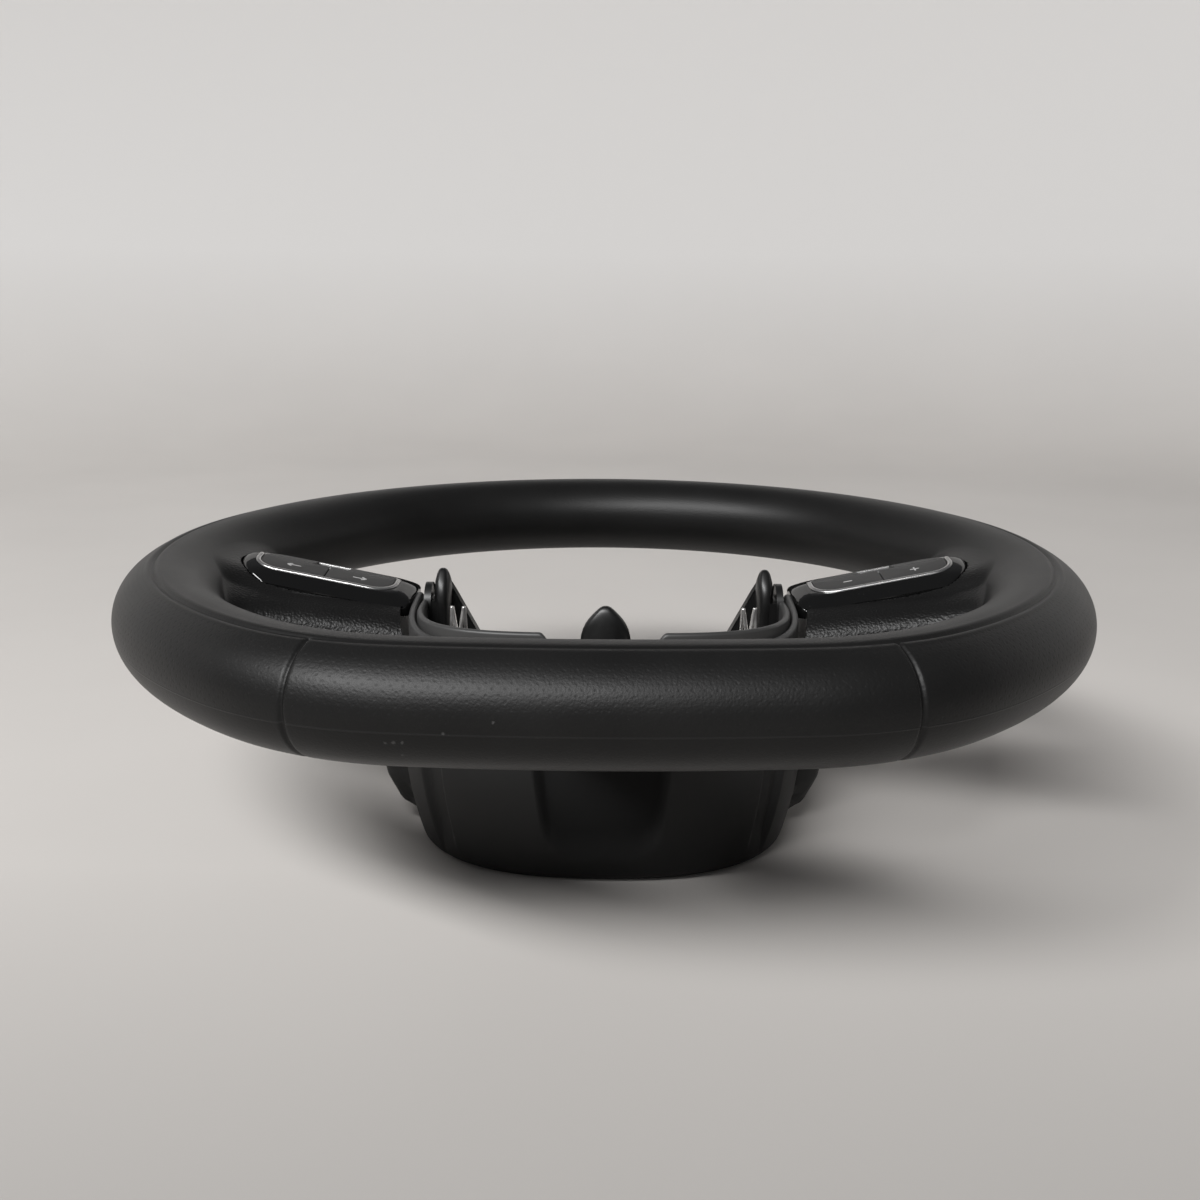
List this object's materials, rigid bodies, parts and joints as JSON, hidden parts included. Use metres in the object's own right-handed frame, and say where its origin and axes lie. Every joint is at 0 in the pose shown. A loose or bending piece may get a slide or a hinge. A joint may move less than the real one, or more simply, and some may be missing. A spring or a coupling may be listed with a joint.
{
  "type": "car steering wheel",
  "caption": "D-shaped car steering wheel with a moulded grip, side switch pods with keys and thumb rollers, a splined hub and an open well for the airbag module.",
  "frame": {"origin": "on the steering axis, at the rear mouth of the splined bore", "axes": "+Z along the steering axis towards the driver, +Y to twelve o'clock, +X to three o'clock"},
  "size_m": [0.351, 0.337, 0.1124],
  "materials": {
    "cast_metal": "as-cast light alloy",
    "steel": "machined steel",
    "grip_skin": "matt black moulded grain, perforated on the outside of the grip",
    "cover_plastic": "fine matt grain",
    "bezel_satin": "satin dark grey paint",
    "guide_plastic": "glossy black",
    "spring_wire": "bright spring wire",
    "board": "green circuit board",
    "gloss_black": "piano black",
    "satin_chrome": "satin chrome",
    "roller_metal": "bright chrome",
    "key_grey": "matt dark grey"
  },
  "bodies": {
    "wheel": {"armature": "cast_metal", "column_boss": "steel", "rim_cover": "grip_skin", "rear_cover": "cover_plastic", "hub_bezel": "bezel_satin", "tongue_left": "guide_plastic", "tongue_right": "guide_plastic", "tongue_bottom": "guide_plastic", "spring_left": "spring_wire", "spring_right": "spring_wire", "case_left": "cover_plastic", "board_left": "board", "surround_left": "gloss_black", "trim_left": "satin_chrome", "case_right": "cover_plastic", "board_right": "board", "surround_right": "gloss_black", "trim_right": "satin_chrome"},
    "key_near_inner_left": {"key_near_inner_left": "key_grey"},
    "key_near_outer_left": {"key_near_outer_left": "key_grey"},
    "key_far_inner_left": {"key_far_inner_left": "key_grey"},
    "key_far_outer_left": {"key_far_outer_left": "key_grey"},
    "roller_left": {"roller_left": "roller_metal"},
    "key_near_inner_right": {"key_near_inner_right": "key_grey"},
    "key_near_outer_right": {"key_near_outer_right": "key_grey"},
    "key_far_inner_right": {"key_far_inner_right": "key_grey"},
    "key_far_outer_right": {"key_far_outer_right": "key_grey"},
    "roller_right": {"roller_right": "roller_metal"}
  },
  "joints": [
    {"name": "press_near_inner_left", "type": "slide", "parent": "wheel", "child": "key_near_inner_left", "axis": [-0.1977, 0, -0.9803], "range_m": [0, 0.001], "stiffness_N_per_m": 600},
    {"name": "press_near_outer_left", "type": "slide", "parent": "wheel", "child": "key_near_outer_left", "axis": [-0.1977, 0, -0.9803], "range_m": [0, 0.001], "stiffness_N_per_m": 600},
    {"name": "press_far_inner_left", "type": "slide", "parent": "wheel", "child": "key_far_inner_left", "axis": [-0.1977, 0, -0.9803], "range_m": [0, 0.001], "stiffness_N_per_m": 600},
    {"name": "press_far_outer_left", "type": "slide", "parent": "wheel", "child": "key_far_outer_left", "axis": [-0.1977, 0, -0.9803], "range_m": [0, 0.001], "stiffness_N_per_m": 600},
    {"name": "roll_left", "type": "hinge", "parent": "wheel", "child": "roller_left", "pos_m": [-0.10567, 0.00575, 0.0671], "axis": [-0.9803, 0, 0.1977], "continuous": true},
    {"name": "press_near_inner_right", "type": "slide", "parent": "wheel", "child": "key_near_inner_right", "axis": [0.1977, 0, -0.9803], "range_m": [0, 0.001], "stiffness_N_per_m": 600},
    {"name": "press_near_outer_right", "type": "slide", "parent": "wheel", "child": "key_near_outer_right", "axis": [0.1977, 0, -0.9803], "range_m": [0, 0.001], "stiffness_N_per_m": 600},
    {"name": "press_far_inner_right", "type": "slide", "parent": "wheel", "child": "key_far_inner_right", "axis": [0.1977, 0, -0.9803], "range_m": [0, 0.001], "stiffness_N_per_m": 600},
    {"name": "press_far_outer_right", "type": "slide", "parent": "wheel", "child": "key_far_outer_right", "axis": [0.1977, 0, -0.9803], "range_m": [0, 0.001], "stiffness_N_per_m": 600},
    {"name": "roll_right", "type": "hinge", "parent": "wheel", "child": "roller_right", "pos_m": [0.10567, 0.00575, 0.0671], "axis": [0.9803, 0, 0.1977], "continuous": true}
  ]
}
